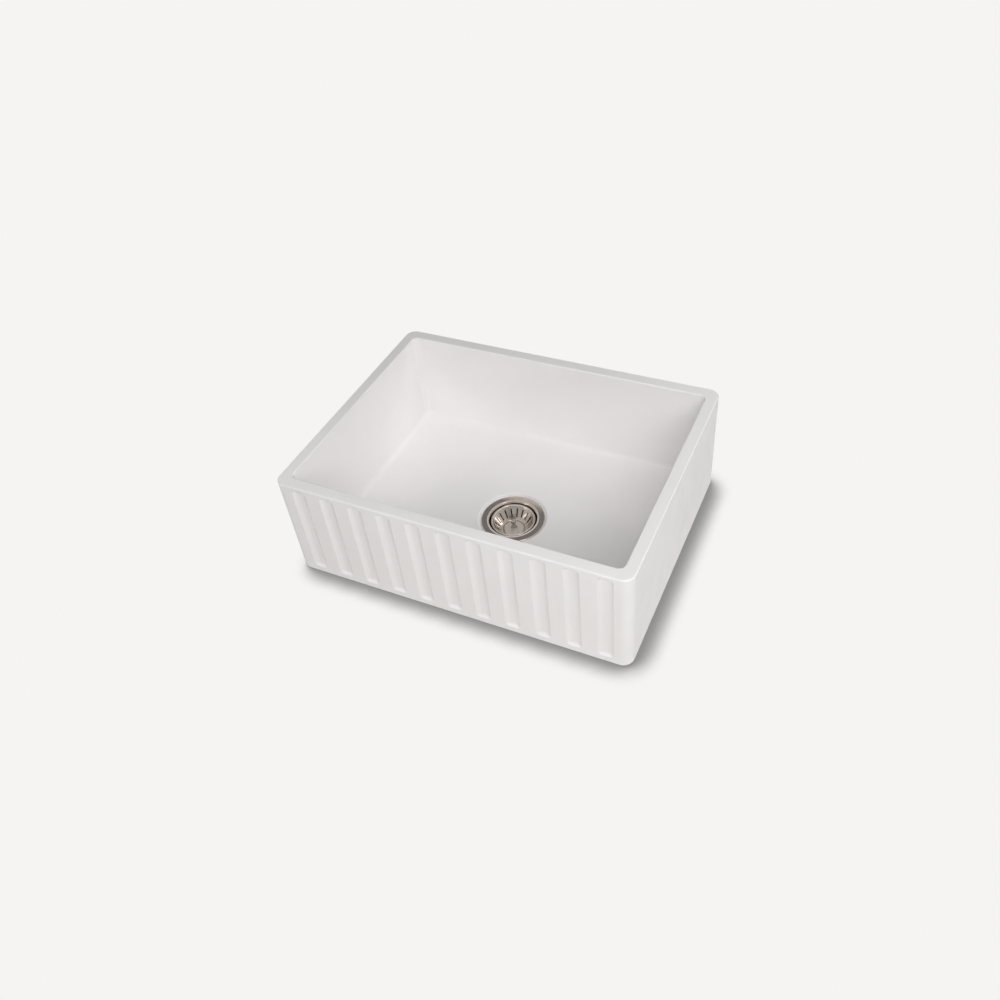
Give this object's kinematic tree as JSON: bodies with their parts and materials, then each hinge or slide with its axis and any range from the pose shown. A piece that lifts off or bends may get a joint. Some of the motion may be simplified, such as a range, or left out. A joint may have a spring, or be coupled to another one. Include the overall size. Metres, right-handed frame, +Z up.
{
  "type": "apron front kitchen sink",
  "caption": "Farmhouse apron front sink in white glazed fireclay, single bowl, fluted front, with a steel basket strainer waste whose basket lifts out.",
  "frame": {"origin": "middle of the flat underside, the plane on which the sink rests in its cabinet", "axes": "+Z up, out of the bowl; -Y towards the fluted apron front; +X to the right seen from the front"},
  "size_m": [0.6, 0.4524, 0.244],
  "materials": {
    "glaze": "gloss",
    "strainer_steel": "satin",
    "nipple_brass": "satin",
    "basket_steel": "satin",
    "polished_steel": "polished",
    "seal_rubber": "matte",
    "stopper_rubber": "satin",
    "fibre": "matte",
    "nut_plastic": "satin",
    "bush_nylon": "satin"
  },
  "bodies": {
    "sink": {"sink_body": "glaze", "strainer_body": "strainer_steel", "flange_seal": "seal_rubber", "outlet_nipple": "nipple_brass", "post_bridge": "nipple_brass", "under_washer": "seal_rubber", "friction_washer": "fibre", "locknut": "nut_plastic"},
    "catch": {"snap_bush": "bush_nylon"},
    "basket": {"basket_cup": "basket_steel", "lift_post": "polished_steel", "post_ferrule": "polished_steel", "lift_knob": "polished_steel", "backing_washer": "basket_steel", "stopper_seal": "stopper_rubber", "stopper_plate": "basket_steel", "stopper_nut": "polished_steel", "stem_clip": "polished_steel"}
  },
  "joints": [
    {"name": "basket_lift", "type": "slide", "parent": "sink", "child": "catch", "axis": [0, 0, 1], "range_m": [0, 0.055]},
    {"name": "basket_turn", "type": "hinge", "parent": "catch", "child": "basket", "pos_m": [0.005, -0.006, 0], "axis": [0, 0, 1], "continuous": true}
  ]
}
